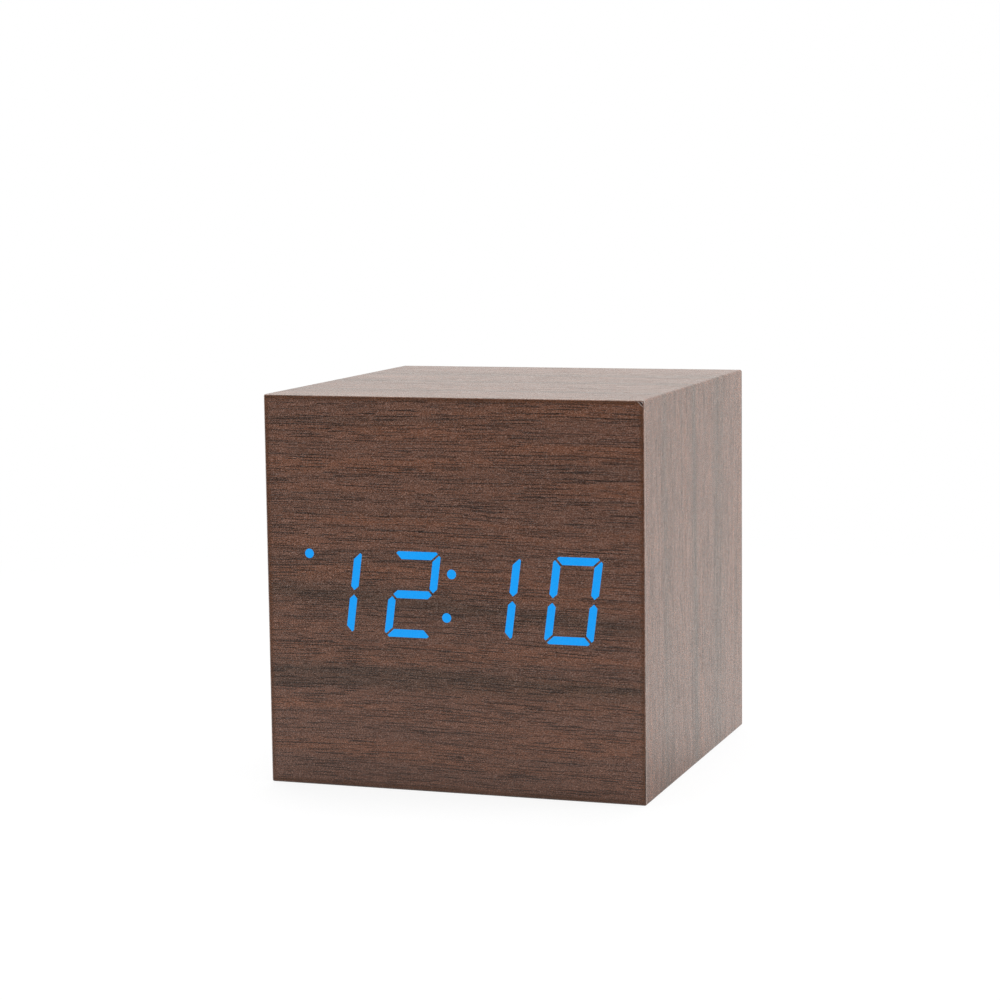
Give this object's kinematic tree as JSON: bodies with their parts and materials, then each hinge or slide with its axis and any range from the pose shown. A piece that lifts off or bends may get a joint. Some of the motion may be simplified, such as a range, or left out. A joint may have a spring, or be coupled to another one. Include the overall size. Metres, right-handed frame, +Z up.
{
  "type": "led cube alarm clock",
  "caption": "Wood-look cube alarm clock with blue LED digits shining through the front film, push buttons and a power inlet on the back, and a battery tray with a hinged door in the base.",
  "frame": {"origin": "middle of the base, on the surface that the clock stands on", "axes": "+Z up, -Y out of the front with the digits, +X to the right for a viewer in front"},
  "size_m": [0.062, 0.0628, 0.062],
  "materials": {
    "mdf": "raw fibreboard",
    "wood_film": "satin wood-grain film, dark walnut print",
    "lit_film": "back-lit film, blue",
    "white_plastic": "white moulded plastic",
    "led_chip": "phosphor and clear resin",
    "circuit_board": "green solder mask",
    "chip_plastic": "black epoxy",
    "nickel_steel": "nickel-plated",
    "header_plastic": "cream nylon",
    "ribbon_grey": "grey insulation",
    "black_plastic": "fine moulded texture",
    "bare_aluminium": "drawn can",
    "thermistor_blue": "dipped epoxy",
    "switch_grey": "moulded",
    "button_black": "satin moulded",
    "black_steel": "black zinc",
    "cell_sleeve": "printed sleeve",
    "red_insulation": "flexible insulation",
    "black_insulation": "flexible insulation"
  },
  "bodies": {
    "case": {"top_board": "mdf", "bottom_board": "mdf", "left_board": "mdf", "right_board": "mdf", "front_board": "mdf", "back_board": "mdf", "side_veneer": "wood_film", "bottom_veneer": "wood_film", "front_veneer": "wood_film", "back_veneer": "wood_film", "lit_segments": "lit_film", "diffuser_sheet": "white_plastic", "reflector_block": "white_plastic", "segment_leds": "led_chip", "display_pcb": "circuit_board", "led_driver_chip": "chip_plastic", "display_screws": "nickel_steel", "ribbon_headers": "header_plastic", "display_ribbon": "ribbon_grey", "control_pcb": "circuit_board", "clock_chip": "chip_plastic", "quartz_crystal": "nickel_steel", "backup_cell_holder": "black_plastic", "backup_cell": "nickel_steel", "buzzer": "black_plastic", "microphone": "bare_aluminium", "thermistor": "thermistor_blue", "tact_switches": "black_plastic", "dc_socket": "black_plastic", "dc_socket_pin": "nickel_steel", "board_spacers": "white_plastic", "control_screws": "nickel_steel", "battery_tray": "black_plastic", "tray_screws": "black_steel", "contact_plates": "nickel_steel", "contact_springs": "nickel_steel", "battery_cells": "cell_sleeve", "positive_lead": "red_insulation", "negative_lead": "black_insulation"},
    "set_button": {"set_button": "button_black", "set_switch_plunger": "switch_grey"},
    "up_button": {"up_button": "button_black", "up_switch_plunger": "switch_grey"},
    "down_button": {"down_button": "button_black", "down_switch_plunger": "switch_grey"},
    "battery_door": {"battery_door": "black_plastic"}
  },
  "joints": [
    {"name": "set_press", "type": "slide", "parent": "case", "child": "set_button", "axis": [0, -1, 0], "range_m": [0, 0.0005], "stiffness_N_per_m": 300},
    {"name": "up_press", "type": "slide", "parent": "case", "child": "up_button", "axis": [0, -1, 0], "range_m": [0, 0.0005], "stiffness_N_per_m": 300},
    {"name": "down_press", "type": "slide", "parent": "case", "child": "down_button", "axis": [0, -1, 0], "range_m": [0, 0.0005], "stiffness_N_per_m": 300},
    {"name": "door_swing", "type": "hinge", "parent": "case", "child": "battery_door", "pos_m": [0, -0.0249, 0.0009], "axis": [-1, 0, 0], "range_deg": [0, 75]}
  ]
}
